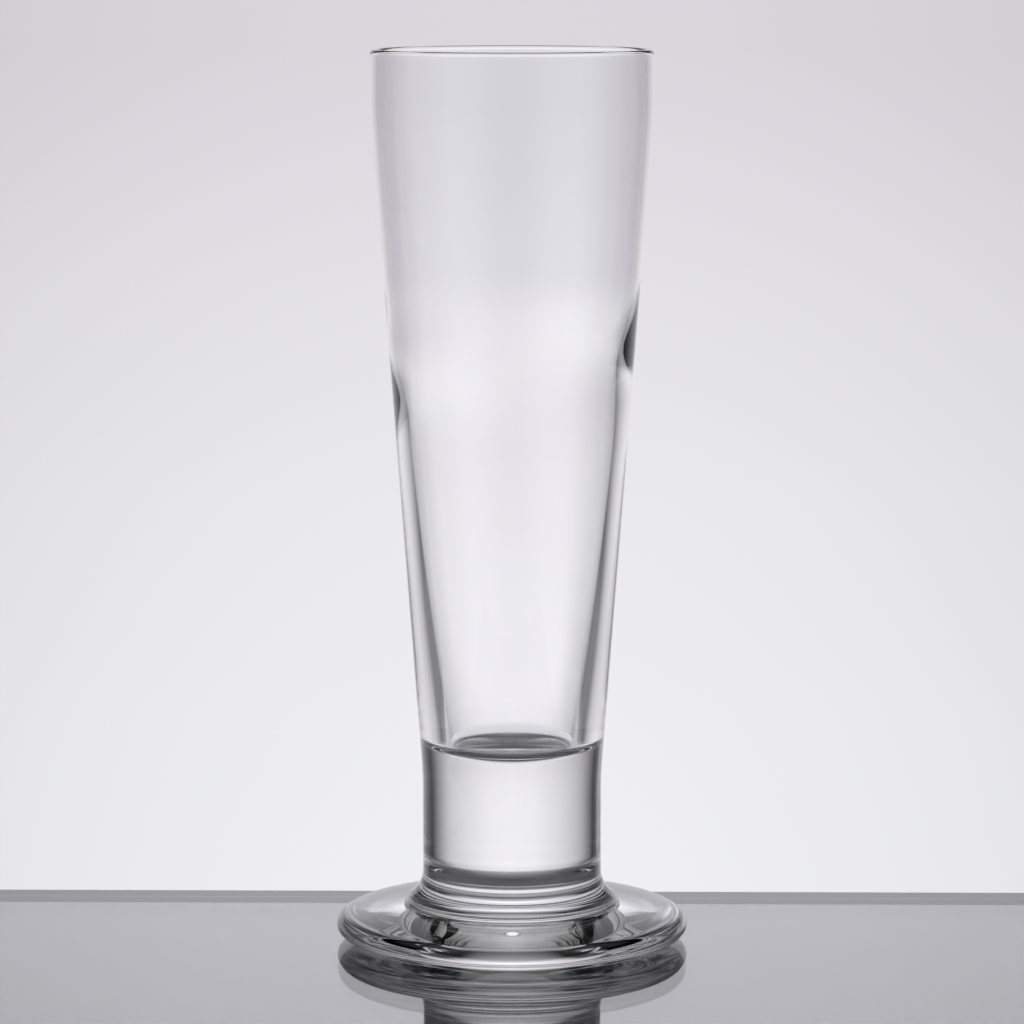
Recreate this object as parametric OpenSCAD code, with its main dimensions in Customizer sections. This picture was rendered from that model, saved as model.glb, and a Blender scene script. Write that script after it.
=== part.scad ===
// Footed pilsner glass in clear glass, about 10 fl oz (0.3 litre) filled to the brim.
// A tall tapered bowl is fused to a short solid stem. The stem stands on a collar,
// and the collar on a round foot. Every piece is turned about +Z, and neighbours
// meet face to face. The origin is the centre of the base, on the surface that the
// glass stands on, and the rim is the highest edge.

/* [Whole glass] */
// Height from the base to the rim
glass_h = 204; // [190:1:220]

/* [Bowl, outside] */
// Outer diameter of the straight band under the rim
rim_d = 63.9; // [58:0.1:70]
// Height of the straight band, from the rim down to the shoulder
band_h = 14.5; // [8:0.5:24]
// Length of the smooth bend from the band into the taper
shoulder_bend = 8; // [4:0.5:14]
// Height of the knee, where the taper meets the straight stem
knee_z = 38.5; // [34:0.5:42]
// Length of the smooth bend at the knee
knee_bend = 8; // [4:0.5:12]

/* [Bowl, wall] */
// Wall at the rim
rim_wall = 1.85; // [1.6:0.05:2.4]
// Radius of the fire-polished lip on its outside
lip_outer_r = 0.75; // [0.4:0.05:0.9]
// Radius of the fire-polished lip on its inside
lip_inner_r = 0.95; // [0.4:0.05:1.1]
// Thinnest wall, in the upper half of the bowl
thin_wall = 1.5; // [1.2:0.05:2]
// Depth of the thinnest place below the rim
thin_depth = 41; // [30:1:50]
// Wall under the settle wave, where the glass gathered and grew thick
wave_wall = 3.1; // [2.4:0.1:4]
// Depth of the foot of the settle wave below the rim
wave_depth = 74; // [60:1:90]
// Wall at the level of the cavity floor
floor_wall = 7.1; // [6:0.1:8]

/* [Bowl, cavity floor] */
// Height of the middle of the cavity floor
floor_z = 42.6; // [41:0.1:50]
// How far the floor rises from its middle to its edge
floor_dish = 2; // [0.3:0.1:3]
// Radius of the round corner between the floor and the wall
floor_corner_r = 3; // [2:0.1:4]

/* [Stem and collar] */
// Diameter of the solid stem
stem_d = 41; // [38:0.1:44]
// Height of the top of the flare, where the collar meets the stem
flare_top_z = 16.5; // [15.5:0.1:20]
// Height of the flare itself, down to the side of the collar
flare_h = 6.6; // [5:0.1:7.5]
// Part of the flare that is hollow, next to the stem
flare_hollow_share = 0.94; // [0.5:0.01:0.96]
// Diameter of the collar at the top of its side
collar_d = 47.4; // [45:0.1:50]
// How much narrower the collar is at its base, in diameter
collar_draft = 0.2; // [0:0.1:1]

/* [Foot] */
// Widest diameter of the foot
foot_d = 80.6; // [74:0.1:88]
// Height of the widest place of the foot
foot_widest_z = 3.5; // [2.5:0.1:4.2]
// Width of the round edge of the foot, from the widest place in towards the collar
edge_w = 3.3; // [2.5:0.1:5]
// Height of that round edge above the widest place
edge_h = 3; // [2:0.1:3.5]
// Rake of the coned top, which rises from the round edge to the collar, in degrees
top_rake = 8; // [5:0.5:10]
// Outer diameter of the flat ring that the glass rests on
rest_outer_d = 64; // [58:0.1:70]
// Width of that resting ring
rest_w = 3; // [2:0.1:4]
// Height of the hollow under the foot, at its middle
hollow_h = 1.8; // [0.8:0.1:2.5]

/* [Hidden] */
$fn = 96;

// Facets along one round corner, and along one long curve
corner_steps = 10;
curve_steps = 12;
wall_steps = 40;

// Clear glass, seen against a pale background
glass_tint = [0.86, 0.88, 0.9];

rim_r = rim_d / 2;
stem_r = stem_d / 2;
collar_r = collar_d / 2;
collar_base_r = (collar_d - collar_draft) / 2;
foot_r = foot_d / 2;
rest_outer_r = rest_outer_d / 2;
rest_inner_r = rest_outer_r - rest_w;
shoulder_z = glass_h - band_h;
thin_z = glass_h - thin_depth;
wave_z = glass_h - wave_depth;

// The bowl ends where its outside has become as straight as the stem
bowl_base_z = knee_z - knee_bend / 2;

// Rise of the radius for each unit of height on the taper
taper = (rim_r - stem_r) / (shoulder_z - knee_z);

// Zero below a corner, and a slope of one above it, with a smooth bend between
function ramp(z, corner, bend) =
    z < corner - bend / 2 ? 0 :
    z > corner + bend / 2 ? z - corner :
    pow(z - corner + bend / 2, 2) / (2 * bend);

// Outer radius of the bowl at a height
function outer_r(z) =
    stem_r + taper * (ramp(z, knee_z, knee_bend) - ramp(z, shoulder_z, shoulder_bend));

// Smooth step from 0 to 1
function ease(s) = s * s * (3 - 2 * s);

// Wall at a height: thin under the rim, thick below the settle wave, thickest at the floor
function wall(z) =
    z > thin_z ? thin_wall + (rim_wall - thin_wall) * ease((z - thin_z) / thin_depth) :
    z > wave_z ? wave_wall + (thin_wall - wave_wall) * ease((z - wave_z) / (thin_z - wave_z)) :
    wave_wall + (floor_wall - wave_wall) * pow((wave_z - z) / (wave_z - floor_z), 2);

// Inner radius of the bowl at a height
function inner_r(z) = outer_r(z) - wall(z);

// Points on an oval about a centre, from one angle to another
function oval(centre, rx, ry, from, to, steps) =
    [for (i = [0 : steps]) let (a = from + (to - from) * i / steps)
        centre + [rx * cos(a), ry * sin(a)]];

// Points on a round corner
function corner(centre, r, from, to) = oval(centre, r, r, from, to, corner_steps);

// Even steps from one value to another, both ends included
function steps_between(from, to, steps) =
    [for (i = [0 : steps]) from + (to - from) * i / steps];

// The wall runs tangent into the corner of the cavity, and the corner into the floor
wall_rake = atan(taper + 2 * (floor_wall - wave_wall) / (wave_z - floor_z));
corner_z = floor_z + floor_dish + floor_corner_r;
wall_foot_z = corner_z - floor_corner_r * sin(wall_rake);
floor_r = inner_r(wall_foot_z) - floor_corner_r * cos(wall_rake);

// Outside of the bowl, from its base up to the lip
bowl_outside = [for (z = steps_between(bowl_base_z, glass_h - lip_outer_r, wall_steps))
    [outer_r(z), z]];

// Rounded lip, from the outside over to the inside
bowl_lip = concat(
    corner([rim_r - lip_outer_r, glass_h - lip_outer_r], lip_outer_r, 0, 90),
    corner([rim_r - rim_wall + lip_inner_r, glass_h - lip_inner_r], lip_inner_r, 90, 180));

// Inside of the bowl, from the lip down to the corner of the floor
bowl_inside = [for (z = steps_between(glass_h - lip_inner_r, wall_foot_z, wall_steps))
    [inner_r(z), z]];

// Floor of the cavity, from its corner down to the middle of its dish
bowl_floor = concat(
    corner([floor_r, corner_z], floor_corner_r, -wall_rake, -90),
    [for (r = steps_between(floor_r, 0, curve_steps))
        [r, floor_z + floor_dish * ease(r / floor_r)]]);

// The flare is two arcs, hollow then round, that meet on one tangent
collar_side_z = flare_top_z - flare_h;
flare_w = collar_r - stem_r;
flare_turn = 2 * atan(flare_w / flare_h);
flare_reach = flare_h / sin(flare_turn);
hollow_r = flare_reach * flare_hollow_share;
round_r = flare_reach - hollow_r;
collar_flare = concat(
    corner([stem_r + hollow_r, flare_top_z], hollow_r, 180, 180 + flare_turn),
    corner([collar_r - round_r, collar_side_z], round_r, flare_turn, 0));

// The coned top leaves the oval of the round edge on a tangent and rises to the collar
edge_r = foot_r - edge_w;
edge_turn = atan2(edge_h, edge_w * tan(top_rake));
cone_start_r = edge_r + edge_w * cos(edge_turn);
cone_start_z = foot_widest_z + edge_h * sin(edge_turn);
seat_z = cone_start_z + (cone_start_r - collar_base_r) * tan(top_rake);

// Rim of the foot, from the resting ring round the widest place to the coned top
foot_rim = concat(
    oval([rest_outer_r, foot_widest_z], foot_r - rest_outer_r, foot_widest_z,
        -90, 0, curve_steps),
    oval([edge_r, foot_widest_z], edge_w, edge_h, 0, edge_turn, curve_steps));

// Hollow under the foot, deepest in its middle and level where it meets the resting ring
foot_hollow = [for (r = steps_between(0, rest_inner_r, curve_steps))
    [r, hollow_h * (1 - ease(r / rest_inner_r))]];

// Blown bowl with its thick lower wall and base
module bowl() {
    color(glass_tint)
        rotate_extrude()
            polygon(concat([[0, bowl_base_z]], bowl_outside, bowl_lip, bowl_inside, bowl_floor));
}

// Solid stem between the bowl and the collar
module stem() {
    color(glass_tint)
        translate([0, 0, flare_top_z])
            cylinder(h = bowl_base_z - flare_top_z, r = stem_r);
}

// Collar that spreads the stem on the foot
module collar() {
    color(glass_tint)
        rotate_extrude()
            polygon(concat([[0, flare_top_z]], collar_flare,
                [[collar_base_r, seat_z], [0, seat_z]]));
}

// Pressed foot with a round edge, a coned top and a hollow under it
module foot() {
    color(glass_tint)
        rotate_extrude()
            polygon(concat(foot_hollow, foot_rim, [[collar_base_r, seat_z], [0, seat_z]]));
}

bowl();
stem();
collar();
foot();
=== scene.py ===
# %% [markdown]
# # Footed pilsner glass
# A pilsner glass of this kind is four pieces of hot glass fused together: a blown
# bowl, a solid stem, a collar and a pressed foot. The CAD model holds their sizes.
# This lesson turns each of them again as a fine, smooth mesh, gives them clear
# glass, and stands them on a glass table top in front of a pale backdrop.

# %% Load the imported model
import math

import bmesh
import bpy
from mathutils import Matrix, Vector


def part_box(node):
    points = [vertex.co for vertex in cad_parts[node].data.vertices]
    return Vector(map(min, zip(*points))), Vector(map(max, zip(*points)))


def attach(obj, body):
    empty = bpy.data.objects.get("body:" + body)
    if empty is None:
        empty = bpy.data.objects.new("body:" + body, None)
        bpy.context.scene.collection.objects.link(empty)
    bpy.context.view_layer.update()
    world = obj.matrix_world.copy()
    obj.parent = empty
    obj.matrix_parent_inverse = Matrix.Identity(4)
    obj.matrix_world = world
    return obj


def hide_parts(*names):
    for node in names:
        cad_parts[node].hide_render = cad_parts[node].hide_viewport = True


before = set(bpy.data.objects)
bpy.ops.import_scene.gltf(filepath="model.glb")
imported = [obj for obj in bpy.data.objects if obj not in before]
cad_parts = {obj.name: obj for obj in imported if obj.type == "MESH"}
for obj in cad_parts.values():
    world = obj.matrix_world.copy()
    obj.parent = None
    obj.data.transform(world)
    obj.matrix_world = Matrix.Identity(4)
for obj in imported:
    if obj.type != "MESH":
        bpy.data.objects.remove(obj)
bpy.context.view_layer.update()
MM = 0.001
# Points that are closer than a thousandth of a millimetre count as one
CLOSE = 1e-6

# %% [markdown]
# ## Sizes
# The CAD model decides how big the glass is, and Blender only draws it. The main sizes
# could be typed in again. They are read from the boxes of the CAD nodes instead, so
# the two models can't drift apart. What a box can't tell, such as the thickness of the
# wall, is a named value in the cell that first needs it.

# %% Read the seams and the radii from the CAD nodes
bowl_low, bowl_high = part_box("bowl")
stem_low, stem_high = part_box("stem")
collar_low, collar_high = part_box("collar")
foot_low, foot_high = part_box("foot")

rim_z = bowl_high.z
rim_r = bowl_high.x
bowl_base_z = bowl_low.z
stem_r = stem_high.x
flare_top_z = stem_low.z
collar_r = collar_high.x
seat_z = collar_low.z
foot_r = foot_high.x
print("the foot stands at z =", round(foot_low.z / MM, 2), "mm")
print("seams at", [round(z / MM, 2) for z in (seat_z, flare_top_z, bowl_base_z)], "mm")
print("radii", [round(r / MM, 2) for r in (rim_r, stem_r, collar_r, foot_r)], "mm")

# %% [markdown]
# ## Curves of the profile
# Every piece is a solid of revolution, so its whole shape is one outline of radius
# and height. Real glass has no sharp edge: the fire rounds each one. A bevel could
# round the edges afterwards. Here the curves are written into the outline, because
# glass shows every crease. There are three kinds: an arc of an oval, an S that eases
# from one value to another, and a ramp with a smooth bend for the taper of the bowl.

# %% Helpers for the outline
def steps_between(start, end, steps):
    return [start + (end - start) * i / steps for i in range(steps + 1)]


def oval_arc(centre, half_width, half_height, start, end, steps=24):
    """Points on an oval, with its angles in degrees."""
    angles = [math.radians(a) for a in steps_between(start, end, steps)]
    return [
        (centre[0] + half_width * math.cos(a), centre[1] + half_height * math.sin(a))
        for a in angles
    ]


def ease(s):
    return s * s * (3 - 2 * s)


def bent_ramp(z, corner, bend):
    """Zero below the corner, a slope of one above it, and a smooth bend between."""
    if z < corner - bend / 2:
        return 0
    if z > corner + bend / 2:
        return z - corner
    return (z - corner + bend / 2) ** 2 / (2 * bend)


# %% [markdown]
# ## The bowl
# The outside is a straight band under the rim, then a long even taper down to the
# stem. The inside tells how the bowl was blown: the wall is thinnest in the upper
# half, swells in a wave where the cooling glass settled, and grows thick towards the
# floor. A Solidify modifier gives one thickness everywhere. So the wall is a formula
# of the height, and the inside is the outside less the wall.

# %% Outside and inside of the bowl
band_height = 14.5 * MM
shoulder_bend = 8 * MM
knee_bend = 8 * MM
knee_z = bowl_base_z + knee_bend / 2
shoulder_z = rim_z - band_height
taper = (rim_r - stem_r) / (shoulder_z - knee_z)

rim_wall = 1.85 * MM
thin_wall = 1.5 * MM
thin_z = rim_z - 41 * MM
wave_wall = 3.1 * MM
wave_z = rim_z - 74 * MM
# The settle wave swells between these two heights
settle_high = rim_z - 52 * MM
settle_low = rim_z - 87 * MM
floor_wall = 7.1 * MM
floor_z = 42.6 * MM
floor_dish = 2 * MM
floor_corner_r = 3 * MM


def bowl_outer_r(z):
    rise = bent_ramp(z, knee_z, knee_bend) - bent_ramp(z, shoulder_z, shoulder_bend)
    return stem_r + taper * rise


def bowl_wall(z):
    """The wall at a height: thin, then swelling in the settle wave, then growing."""
    if z > thin_z:
        return thin_wall + (rim_wall - thin_wall) * ease((z - thin_z) / (rim_z - thin_z))
    depth_share = max(wave_z - z, 0) / (wave_z - floor_z)
    grown_wall = wave_wall + (floor_wall - wave_wall) * depth_share**2
    height_share = min(max((z - settle_low) / (settle_high - settle_low), 0), 1)
    return grown_wall + (thin_wall - grown_wall) * ease(height_share)


def bowl_inner_r(z):
    return bowl_outer_r(z) - bowl_wall(z)


wall_heights = steps_between(floor_z, rim_z, 6)
print("wall in mm, from the floor up:", [round(bowl_wall(z) / MM, 2) for z in wall_heights])

# %% [markdown]
# ## Lip and floor of the bowl
# The rim is melted round with a flame after it is cut, so its section is a soft oval
# and not a square edge with a bevel. The cavity ends in a round corner and a hollow
# floor. The wall, the corner and the floor share their tangents, because thick glass
# would show each crease as a hard line.

# %% Outline of the bowl
lip_outer_r = 0.85 * MM
lip_inner_r = 1.0 * MM
lip_height = 1.05 * MM

# Slope of the inner wall where it reaches the corner of the floor
wall_rake = math.atan(taper + 2 * (floor_wall - wave_wall) / (wave_z - floor_z))
corner_z = floor_z + floor_dish + floor_corner_r
wall_foot_z = corner_z - floor_corner_r * math.sin(wall_rake)
floor_r = bowl_inner_r(wall_foot_z) - floor_corner_r * math.cos(wall_rake)

WALL_STEPS = 150
bowl_outside = [
    (bowl_outer_r(z), z)
    for z in steps_between(bowl_base_z, rim_z - lip_height, WALL_STEPS)
]
lip_centre = (rim_r - lip_outer_r, rim_z - lip_height)
bowl_lip = oval_arc(lip_centre, lip_outer_r, lip_height, 0, 90) + oval_arc(
    lip_centre, lip_inner_r, lip_height, 90, 180
)
bowl_inside = [
    (bowl_inner_r(z), z)
    for z in steps_between(rim_z - lip_height, wall_foot_z, WALL_STEPS)
]

# The corner stops short of level, and the floor falls from there to its middle
floor_rake = math.radians(21)
floor_edge_r = floor_r + floor_corner_r * math.sin(floor_rake)
floor_rise = corner_z - floor_corner_r * math.cos(floor_rake) - floor_z
floor_fullness = 3 - math.tan(floor_rake) * floor_edge_r / floor_rise
bowl_floor = oval_arc(
    (floor_r, corner_z),
    floor_corner_r,
    floor_corner_r,
    -math.degrees(wall_rake),
    math.degrees(floor_rake) - 90,
)
for share in steps_between(1, 0, 40):
    height = floor_fullness * share**2 + (1 - floor_fullness) * share**3
    bowl_floor.append((floor_edge_r * share, floor_z + floor_rise * height))
print("cavity is", round((rim_z - floor_z) / MM, 1), "mm deep")

# %% [markdown]
# ## A cavity that isn't quite centred
# Hot glass sags before it sets. In this glass the wave where the thin wall swells into
# the thick one sits higher on one side, so the cavity leans a little to the other.
# A lattice could push the inside over. A short formula is surer: its shift fades to
# nothing on the outside of the wall, which the mould held true.

# %% Shift of the cavity
lean_depth = 72 * MM
lean_reach = 9 * MM
lean_shift = 0.75 * MM


def cavity_lean(r, z):
    """How far a point of the bowl moves towards -X."""
    if z < floor_z:
        return 0
    share = min(max((bowl_outer_r(z) - r) / bowl_wall(z), 0), 1)
    return lean_shift * share * math.exp(-(((rim_z - lean_depth - z) / lean_reach) ** 2))


lean_z = rim_z - lean_depth
most_lean = cavity_lean(bowl_inner_r(lean_z), lean_z)
print("the cavity leans by up to", round(most_lean / MM, 2), "mm")

# %% [markdown]
# ## Stem, collar and foot
# The stem is a plain solid cylinder. Below it the collar flares out in two arcs, one
# hollow and one round, that meet on a shared tangent. The foot is a pressed disc with
# a round edge, and a coned top that climbs to the collar. Where the two hot pieces
# met, the glass flowed into the corner and left a fillet. The foot rests on a narrow
# ring, so its hollow middle never touches the table. Cylinders with bevels would come
# near. Outlines are exact, so neighbours meet at their seams with nothing left over.

# %% Outlines of the collar and its fillet
flare_height = 6.6 * MM
flare_hollow_share = 0.94
collar_draft = 0.1 * MM

flare_width = collar_r - stem_r
flare_turn = 2 * math.atan(flare_width / flare_height)
flare_reach = flare_height / math.sin(flare_turn)
hollow_r = flare_reach * flare_hollow_share
round_r = flare_reach - hollow_r
collar_side_z = flare_top_z - flare_height
collar_base_r = collar_r - collar_draft
top_rake = math.radians(8)

# The fillet touches the side of the collar and the coned top of the foot
fillet_drop = collar_side_z - seat_z + collar_draft * math.tan(top_rake)
fillet_share = math.cos(top_rake) - (1 - math.sin(top_rake)) * math.tan(top_rake)
fillet_r = fillet_drop / fillet_share
fillet_centre = (collar_r + fillet_r, collar_side_z)
fillet_seam = 180 + math.degrees(math.asin((collar_side_z - seat_z) / fillet_r))
collar_fillet = oval_arc(fillet_centre, fillet_r, fillet_r, fillet_seam, 180)
foot_fillet = oval_arc(
    fillet_centre, fillet_r, fillet_r, 270 - math.degrees(top_rake), fillet_seam
)
collar_flare = oval_arc(
    (collar_r - round_r, collar_side_z), round_r, round_r, 0, math.degrees(flare_turn)
) + oval_arc(
    (stem_r + hollow_r, flare_top_z),
    hollow_r,
    hollow_r,
    180 + math.degrees(flare_turn),
    180,
)
print("fillet radius", round(fillet_r / MM, 2), "mm")

# %% Outline of the foot
foot_widest_z = 3.5 * MM
edge_width = 3.3 * MM
edge_height = 3 * MM
rest_outer_r = 32 * MM
rest_inner_r = 29 * MM
hollow_height = 1.8 * MM
edge_turn = math.degrees(math.atan2(edge_height, edge_width * math.tan(top_rake)))
foot_hollow = [
    (r, hollow_height * (1 - ease(r / rest_inner_r)))
    for r in steps_between(0, rest_inner_r, 60)
]
foot_rim = oval_arc(
    (rest_outer_r, foot_widest_z), foot_r - rest_outer_r, foot_widest_z, -90, 0
) + oval_arc((foot_r - edge_width, foot_widest_z), edge_width, edge_height, 0, edge_turn)
cone_start_r, cone_start_z = foot_rim[-1]
cone_slope = (seat_z - cone_start_z) / (cone_start_r - collar_base_r)
foot_top = [
    (r, cone_start_z + cone_slope * (cone_start_r - r))
    for r in steps_between(cone_start_r, foot_fillet[0][0], 20)
]
print("top of the foot slopes", round(math.degrees(math.atan(cone_slope)), 1), "degrees")

# %% [markdown]
# ## Clear glass
# Clear glass has no colour of its own. What the eye reads as glass is the world bent
# through it, so the shader needs the right index of refraction and a surface that
# isn't perfectly even: hot glass keeps faint ripples from the mould and the fire.
# They could be sculpted. A bump a few thousandths of a millimetre high bends the light
# as much and needs no extra faces. The seams between the pieces are fused and can't be
# seen. Their faces only close the meshes, so their material lets every ray through.

# %% A helper for Math nodes
def math_node(tree, operation, *values, clamp=False):
    """A Math node whose inputs are numbers or other nodes' outputs."""
    node = tree.nodes.new("ShaderNodeMath")
    node.operation = operation
    node.use_clamp = clamp
    for socket, value in zip(node.inputs, values):
        if isinstance(value, (int, float)):
            socket.default_value = value
        else:
            tree.links.new(value, socket)
    return node.outputs[0]


# %% Clear glass with faint ripples
def noise_height(tree, scale):
    """Noise over the piece, with so many swells to the metre along each axis."""
    place = tree.nodes.new("ShaderNodeTexCoord").outputs["Object"]
    stretch = tree.nodes.new("ShaderNodeMapping")
    stretch.inputs["Scale"].default_value = scale
    noise = tree.nodes.new("ShaderNodeTexNoise")
    noise.inputs["Scale"].default_value = 1.0
    noise.inputs["Detail"].default_value = 1.0
    tree.links.new(place, stretch.inputs["Vector"])
    tree.links.new(stretch.outputs[0], noise.inputs["Vector"])
    return noise.outputs[0]


def make_clear_glass():
    """Clear glass with broad ripples and finer upright streaks, in microns."""
    material = bpy.data.materials.new("fire_polished_clear_glass")
    material.use_nodes = True
    tree = material.node_tree
    shader = tree.nodes["Principled BSDF"]
    shader.inputs["Base Color"].default_value = (0.99, 0.99, 1.0, 1)
    shader.inputs["Roughness"].default_value = 0.0
    shader.inputs["IOR"].default_value = 1.52
    shader.inputs["Transmission Weight"].default_value = 1.0
    ripple_microns, streak_microns = 8.0, 0.5
    ripples = noise_height(tree, (110, 110, 60))
    streaks = noise_height(tree, (900, 900, 25))
    height = math_node(tree, "MULTIPLY", ripples, ripple_microns)
    height = math_node(tree, "MULTIPLY_ADD", streaks, streak_microns, height)
    bump = tree.nodes.new("ShaderNodeBump")
    bump.inputs["Strength"].default_value = 1.0
    bump.inputs["Distance"].default_value = 0.001 * MM
    tree.links.new(height, bump.inputs["Height"])
    tree.links.new(bump.outputs[0], shader.inputs["Normal"])
    return material


clear_glass = make_clear_glass()
print(clear_glass.name, "has", len(clear_glass.node_tree.nodes), "nodes")


# %% Fused seam
def make_fused_seam():
    """A face inside the fused glass, which no ray notices."""
    material = bpy.data.materials.new("fused_seam")
    material.use_nodes = True
    tree = material.node_tree
    tree.nodes.remove(tree.nodes["Principled BSDF"])
    clear = tree.nodes.new("ShaderNodeBsdfTransparent")
    tree.links.new(clear.outputs[0], tree.nodes["Material Output"].inputs["Surface"])
    return material


fused_seam = make_fused_seam()
print(fused_seam.name, "has", len(fused_seam.node_tree.nodes), "nodes")

# %% [markdown]
# ## Turning an outline into a mesh
# A lathe copies the outline around the axis and joins neighbours with faces. The
# outline starts and ends on the axis, so the mesh closes by itself. A Screw modifier
# could do the turning. A loop of our own can also lean the cavity on the way, and give
# the faces that lie on a seam their second material.

# %% Lathe
SIDES = 240
SHARP_EDGE = math.radians(35)
CUBIC_CM = 1e-6


def turn_on_lathe(name, outline, seam_heights=(), lean=None):
    """A closed mesh from (radius, height) points that start and end on the axis."""
    mesh_builder = bmesh.new()
    rings = []
    for r, z in outline:
        count = 1 if r < CLOSE else SIDES
        turns = [2 * math.pi * i / SIDES for i in range(count)]
        shift = lean(r, z) if lean else 0
        points = [(r * math.cos(a) - shift, r * math.sin(a), z) for a in turns]
        rings.append([mesh_builder.verts.new(point) for point in points])
    for lower, upper in zip(rings, rings[1:]):
        for i in range(SIDES):
            j = (i + 1) % SIDES
            corners = (lower[i % len(lower)], lower[j % len(lower)])
            corners += (upper[j % len(upper)], upper[i % len(upper)])
            mesh_builder.faces.new(tuple(dict.fromkeys(corners)))
    bmesh.ops.recalc_face_normals(mesh_builder, faces=mesh_builder.faces)
    for face in mesh_builder.faces:
        face.smooth = True
        on_seam = [all(abs(v.co.z - z) < CLOSE for v in face.verts) for z in seam_heights]
        face.material_index = 1 if any(on_seam) else 0
    mesh = bpy.data.meshes.new(name)
    mesh_builder.to_mesh(mesh)
    volume = mesh_builder.calc_volume()
    open_edges = sum(1 for e in mesh_builder.edges if not e.is_manifold)
    mesh_builder.free()
    mesh.materials.append(clear_glass)
    mesh.materials.append(fused_seam)
    mesh.set_sharp_from_angle(angle=SHARP_EDGE)
    piece = bpy.data.objects.new(name, mesh)
    bpy.context.scene.collection.objects.link(piece)
    cubic_cm = round(volume / CUBIC_CM, 1)
    print(name, len(mesh.polygons), "faces,", cubic_cm, "cm3,", open_edges, "open edges")
    return piece


def without_repeats(points):
    """The points without those that lie on the one before, where two curves join."""
    kept = [points[0]]
    for point in points[1:]:
        if math.dist(point, kept[-1]) > CLOSE:
            kept.append(point)
    return kept


# %% Turn the four pieces
outlines = {
    "bowl": (
        [(0, bowl_base_z)] + bowl_outside + bowl_lip + bowl_inside + bowl_floor,
        (bowl_base_z,),
    ),
    "stem": (
        [(0, flare_top_z)]
        + [(stem_r, z) for z in steps_between(flare_top_z, bowl_base_z, 20)]
        + [(0, bowl_base_z)],
        (flare_top_z, bowl_base_z),
    ),
    "collar": (
        [(0, seat_z)] + collar_fillet + collar_flare + [(0, flare_top_z)],
        (seat_z, flare_top_z),
    ),
    "foot": (foot_hollow + foot_rim + foot_top + foot_fillet + [(0, seat_z)], (seat_z,)),
}
for node, (outline, seams) in outlines.items():
    lean = cavity_lean if node == "bowl" else None
    piece = turn_on_lathe("glass_" + node, without_repeats(outline), seams, lean)
    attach(piece, "root")
    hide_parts(node)

# %% [markdown]
# ## Table
# The glass stands on a glass table top, which mirrors it. Seen at a flat angle the
# plate is a mirror over a dark board, painted shade for the dark under the table. Its
# far edge is the horizon of the picture, and that edge is painted dark, a painted
# shade, so it shows as a band through the top. A plain mirror plane would have neither
# the band nor the second, fainter image. Seen from higher up, the pale satin finish of
# the plate shows, and takes the shadow of the glass.

# %% Table plate and board
plate_thickness = 8 * MM
plate_gap = 0.02 * MM
plate_left, plate_right = -0.15, 0.15
plate_front = -0.25
plate_back_left, plate_back_right = 0.0502, 0.0458
board_gap = 0.02 * MM
board_thickness = 3 * MM
BACK_FACE = 4


def flat_box(name, corners, low, high):
    """A closed box over four corners, given anticlockwise as (x, y) from front left.

    Its faces are the bottom, the top, the front, the right, the back and the left.
    """
    points = [(x, y, low) for x, y in corners] + [(x, y, high) for x, y in corners]
    sides = [(i, (i + 1) % 4, (i + 1) % 4 + 4, i + 4) for i in range(4)]
    mesh = bpy.data.meshes.new(name)
    mesh.from_pydata(points, [], [(3, 2, 1, 0), (4, 5, 6, 7)] + sides)
    mesh.update()
    slab = bpy.data.objects.new(name, mesh)
    bpy.context.scene.collection.objects.link(slab)
    return slab


plate_corners = [
    (plate_left, plate_front),
    (plate_right, plate_front),
    (plate_right, plate_back_right),
    (plate_left, plate_back_left),
]
plate_top = -plate_gap
board_top = plate_top - plate_thickness - board_gap
table_plate = flat_box("table_plate", plate_corners, plate_top - plate_thickness, plate_top)
table_board = flat_box("table_board", plate_corners, board_top - board_thickness, board_top)
plate_size = (plate_right - plate_left, plate_back_left - plate_front, plate_thickness)
print("plate of the table, in mm:", [round(size / MM, 1) for size in plate_size])


# %% Materials of the table
def make_painted_shade_surface(name, colour):
    """A dull dark surface for painted shade, which mirrors next to nothing."""
    material = bpy.data.materials.new(name)
    material.use_nodes = True
    shader = material.node_tree.nodes["Principled BSDF"]
    shader.inputs["Base Color"].default_value = colour
    shader.inputs["Roughness"].default_value = 0.6
    return material


def make_satin_plate():
    """Clear glass, with a pale satin face where one looks down on it.

    Facing is 1 along the face and 0 straight down on it. The satin starts to show at
    0.75 and is full at 0.59. It shows to the camera, and through the drinking glass.
    """
    material = bpy.data.materials.new("satin_plate")
    material.use_nodes = True
    tree = material.node_tree
    glass = tree.nodes["Principled BSDF"]
    glass.inputs["Base Color"].default_value = (0.95, 0.97, 0.975, 1)
    glass.inputs["Roughness"].default_value = 0.0
    glass.inputs["IOR"].default_value = 1.52
    glass.inputs["Transmission Weight"].default_value = 1.0
    satin = tree.nodes.new("ShaderNodeBsdfDiffuse")
    satin.inputs["Color"].default_value = (0.78, 0.78, 0.8, 1)
    facing = tree.nodes.new("ShaderNodeLayerWeight").outputs["Facing"]
    slope, start = -6.5, 4.85
    steepness = math_node(tree, "MULTIPLY_ADD", facing, slope, start, clamp=True)
    ray = tree.nodes.new("ShaderNodeLightPath").outputs
    looking = math_node(
        tree, "ADD", ray["Is Camera Ray"], ray["Is Transmission Ray"], clamp=True
    )
    backfacing = tree.nodes.new("ShaderNodeNewGeometry").outputs["Backfacing"]
    outside = math_node(tree, "SUBTRACT", 1.0, backfacing)
    shown = math_node(tree, "MULTIPLY", looking, outside)
    mix = tree.nodes.new("ShaderNodeMixShader")
    tree.links.new(math_node(tree, "MULTIPLY", steepness, shown), mix.inputs[0])
    tree.links.new(glass.outputs[0], mix.inputs[1])
    tree.links.new(satin.outputs[0], mix.inputs[2])
    tree.links.new(mix.outputs[0], tree.nodes["Material Output"].inputs["Surface"])
    return material


# The back face of the plate is painted dark: painted shade for the dark band at the table's
# edge
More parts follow.
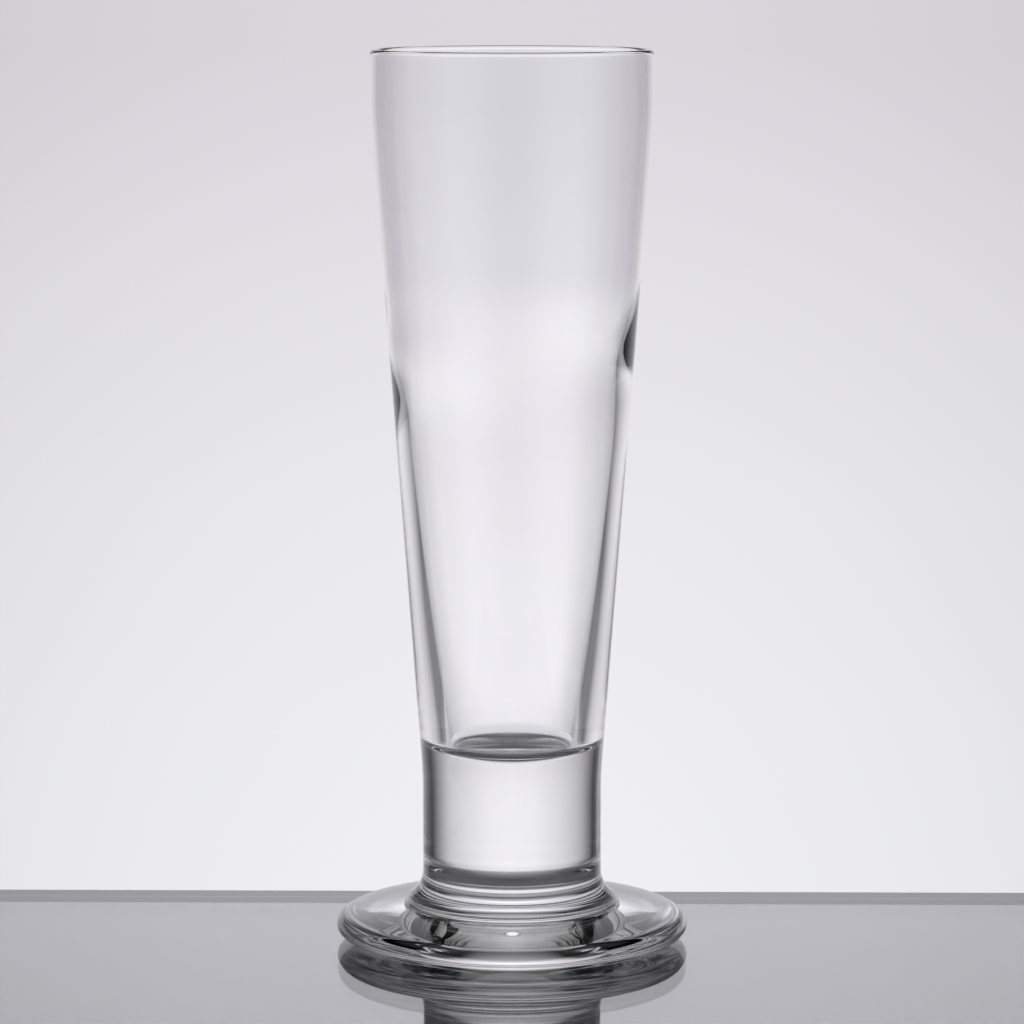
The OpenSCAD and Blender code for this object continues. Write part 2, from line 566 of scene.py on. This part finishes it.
painted_shade_edge = make_painted_shade_surface("painted_shade_plate_edge", (0.05, 0.055, 0.055, 1))
table_plate.data.materials.append(make_satin_plate())
table_plate.data.materials.append(painted_shade_edge)
table_plate.data.polygons[BACK_FACE].material_index = 1
# The board under the plate is nearly black: painted shade for the dark under the table top
table_board.data.materials.append(make_painted_shade_surface("painted_shade_board", (0.03, 0.03, 0.032, 1)))
print("materials of the plate:", [m.name for m in table_plate.data.materials])

# %% [markdown]
# ## Light
# Glass is lit by what stands behind it, so the light is a picture of a studio. A pale
# backdrop fills the view behind the glass and fades to dark at both sides, and the
# dark sides draw the soft grey edges of the bowl and the stem. Lamps and cards could
# be set up for this. The world holds them all here, because a ramp over direction
# leaves nothing standing in the picture. Its tones were set one direction at a time,
# until the glass looked right. Camera rays see the plain backdrop alone, and
# diffuse faces a soft even fill.

# %% Nodes for the world
def ramp_node(tree, factor, low, high, stops):
    """A Color Ramp over low..high, whose stops are (value, grey or colour)."""
    scaled = tree.nodes.new("ShaderNodeMapRange")
    scaled.inputs["From Min"].default_value = low
    scaled.inputs["From Max"].default_value = high
    tree.links.new(factor, scaled.inputs["Value"])
    node = tree.nodes.new("ShaderNodeValToRGB")
    tree.links.new(scaled.outputs[0], node.inputs[0])
    elements = node.color_ramp.elements
    elements.remove(elements[-1])
    for i, (value, tone) in enumerate(stops):
        place = (value - low) / (high - low)
        colour = tone if isinstance(tone, tuple) else (tone, tone, tone)
        element = elements[0] if i == 0 else elements.new(place)
        element.position = place
        element.color = (*colour, 1)
    return node.outputs[0]


def mix_node(tree, kind, factor, first, second, blend="MIX"):
    """A Mix node for the kind FLOAT or RGBA, whose inputs are values or outputs."""
    node = tree.nodes.new("ShaderNodeMix")
    node.data_type = kind
    if kind == "RGBA":
        node.blend_type = blend
        sockets = (node.inputs[0], node.inputs[6], node.inputs[7])
        out = node.outputs[2]
    else:
        sockets = (node.inputs[0], node.inputs[2], node.inputs[3])
        out = node.outputs[0]
    for socket, value in zip(sockets, (factor, first, second)):
        if isinstance(value, (int, float, tuple)):
            socket.default_value = value
        else:
            tree.links.new(value, socket)
    return out


# %% Direction of a ray, as elevation and azimuth in degrees
world = bpy.data.worlds.new("studio")
bpy.context.scene.world = world
world.use_nodes = True
sky = world.node_tree
background = sky.nodes["Background"]
direction = sky.nodes.new("ShaderNodeSeparateXYZ")
texture_coordinate = sky.nodes.new("ShaderNodeTexCoord")
sky.links.new(texture_coordinate.outputs["Generated"], direction.inputs[0])
DEGREES = 180 / math.pi
elevation = math_node(
    sky, "MULTIPLY", math_node(sky, "ARCSINE", direction.outputs["Z"]), DEGREES
)
azimuth = math_node(
    sky,
    "MULTIPLY",
    math_node(sky, "ARCTAN2", direction.outputs["X"], direction.outputs["Y"]),
    DEGREES,
)


def fade(start, end):
    """0 at one elevation, 1 at another, and level beyond both."""
    rise = math_node(sky, "SUBTRACT", elevation, start)
    return math_node(sky, "MULTIPLY", rise, 1 / (end - start), clamp=True)


# %% What the camera sees: pale and a little cool, and lighter towards the table
backdrop = ramp_node(
    sky,
    elevation,
    -15,
    1,
    [
        (-13, (0.870, 0.870, 0.890)),
        (-10.3, (0.855, 0.855, 0.880)),
        (-7.5, (0.825, 0.815, 0.850)),
        (-4.7, (0.775, 0.762, 0.803)),
        (-1.5, (0.700, 0.682, 0.722)),
    ],
)
# It loses a tenth of its light from the middle to the sides of the picture, by the
# square of the angle in degrees
picture_side = 7.5
side_loss = 0.0018
sideways = math_node(sky, "ABSOLUTE", direction.outputs["X"])
side_angle = math_node(
    sky, "MINIMUM", math_node(sky, "MULTIPLY", sideways, DEGREES), picture_side
)
side_fall = math_node(
    sky, "MULTIPLY_ADD", math_node(sky, "POWER", side_angle, 2), -side_loss, 1.0
)
print("light left at the sides:", round(1 - side_loss * picture_side**2, 2))

# %% [markdown]
# ## What the glass sees
# Rays through the glass see the same backdrop, which is widest near the horizon. Pale
# panels beside and behind the camera stand low. The floor is dim below the table's
# edge and pale further down, and a soft lamp hangs overhead. Each is a ramp over
# direction, so each can be made stronger alone.

# %% Studio around the glass
# The backdrop closes to less than half its width above, and by an eighth below
spread = math_node(sky, "MULTIPLY_ADD", fade(3, 12), 1.2, 1.0)
spread = math_node(sky, "MULTIPLY_ADD", fade(-13, -19), 0.15, spread)
backdrop_width = ramp_node(
    sky,
    math_node(sky, "MULTIPLY", azimuth, spread),
    -180,
    180,
    [
        (-56, 0.05),
        (-48, 0.26),
        (-41, 0.46),
        (-34, 0.62),
        (-25, 0.76),
        (-10, 0.96),
        (0, 1.0),
        (10, 0.96),
        (25, 0.76),
        (34, 0.61),
        (40, 0.43),
        (46, 0.24),
        (54, 0.05),
    ],
)
side_panels = ramp_node(
    sky,
    azimuth,
    -180,
    180,
    [
        (-172, 0.15),
        (-140, 0.5),
        (-115, 0.6),
        (-92, 0.6),
        (-84, 0.3),
        (-74, 0.1),
        (-69, 0.3),
        (-64, 0.0),
        (98, 0.0),
        (122, 0.55),
        (146, 0.55),
        (172, 0.15),
    ],
)
dim_floor = math_node(sky, "MULTIPLY", fade(-13, -19), 0.2)
behind = math_node(sky, "MAXIMUM", backdrop_width, dim_floor)
beside = math_node(sky, "MULTIPLY_ADD", side_panels, fade(24, 15), behind)
around = mix_node(sky, "FLOAT", fade(-24, -30), beside, 1.0)
overhead = ramp_node(sky, elevation, -90, 90, [(46, 0.0), (54, 0.3), (90, 0.38)])

# %% Strength of the studio light at each elevation
studio_light = ramp_node(
    sky,
    elevation,
    -90,
    90,
    [
        (-90, (0.50, 0.50, 0.51)),
        (-30, (0.80, 0.79, 0.81)),
        (-20, (0.90, 0.885, 0.915)),
        (-15, (0.99, 0.975, 1.005)),
        (-12, (0.95, 0.937, 0.965)),
        (-8.5, (0.91, 0.895, 0.925)),
        (-4.7, (0.82, 0.803, 0.845)),
        (-1, (0.75, 0.733, 0.773)),
        (4, (0.86, 0.845, 0.88)),
        (8.5, (1.08, 1.06, 1.12)),
        (12, (1.11, 1.09, 1.165)),
        (15.5, (1.13, 1.11, 1.185)),
        (19, (0.95, 0.93, 0.98)),
        (25, (0.56, 0.55, 0.57)),
        (32, (0.38, 0.373, 0.387)),
        (38, (0.22, 0.216, 0.224)),
        (48, (0.10, 0.10, 0.105)),
        (90, (0.10, 0.10, 0.105)),
    ],
)

# %% Which ray sees which light
ray = sky.nodes.new("ShaderNodeLightPath").outputs
lit = mix_node(sky, "RGBA", 1.0, studio_light, around, blend="MULTIPLY")
lit = mix_node(sky, "RGBA", 1.0, lit, overhead, blend="ADD")
soft_fill = (0.75, 0.75, 0.78, 1)
lit = mix_node(sky, "RGBA", ray["Is Diffuse Ray"], lit, soft_fill)
seen = mix_node(sky, "RGBA", 1.0, backdrop, side_fall, blend="MULTIPLY")
colour = mix_node(sky, "RGBA", ray["Is Camera Ray"], lit, seen)
sky.links.new(colour, background.inputs["Color"])
print("the world has", len(sky.nodes), "nodes")

# %% [markdown]
# ## Camera
# The picture is taken from nearly a metre away with a long lens, a little above the
# rim. That keeps the ellipse of the rim almost shut while the foot's stays open. A
# closer camera would open both and bend the taper of the bowl.

# %% Camera
camera_data = bpy.data.cameras.new("camera")
camera = bpy.data.objects.new("camera", camera_data)
bpy.context.scene.collection.objects.link(camera)
camera.location = (0, -0.972, 0.2298)
camera_pitch = 7.662
camera.rotation_euler = (math.radians(90 - camera_pitch), 0, 0)
camera_data.sensor_width = 36
camera_data.lens = 151.31
camera_data.clip_start = 0.01
bpy.context.scene.camera = camera
above_rim = camera.location.z - rim_z
print("camera", round(above_rim / MM), "mm above the rim")
print("lens", round(camera_data.lens), "mm")

# %% [markdown]
# ## Render settings that belong to glass
# A ray crosses many faces of glass before it leaves. Each crossing is a bounce, and a
# ray that runs out of bounces turns black. So the thick parts need more than usual.

# %% Bounces and colour
scene = bpy.context.scene
scene.view_settings.view_transform = "Standard"
scene.cycles.max_bounces = 32
scene.cycles.transmission_bounces = 32
scene.cycles.glossy_bounces = 16
scene.cycles.transparent_max_bounces = 32
print("bounces through glass:", scene.cycles.transmission_bounces)
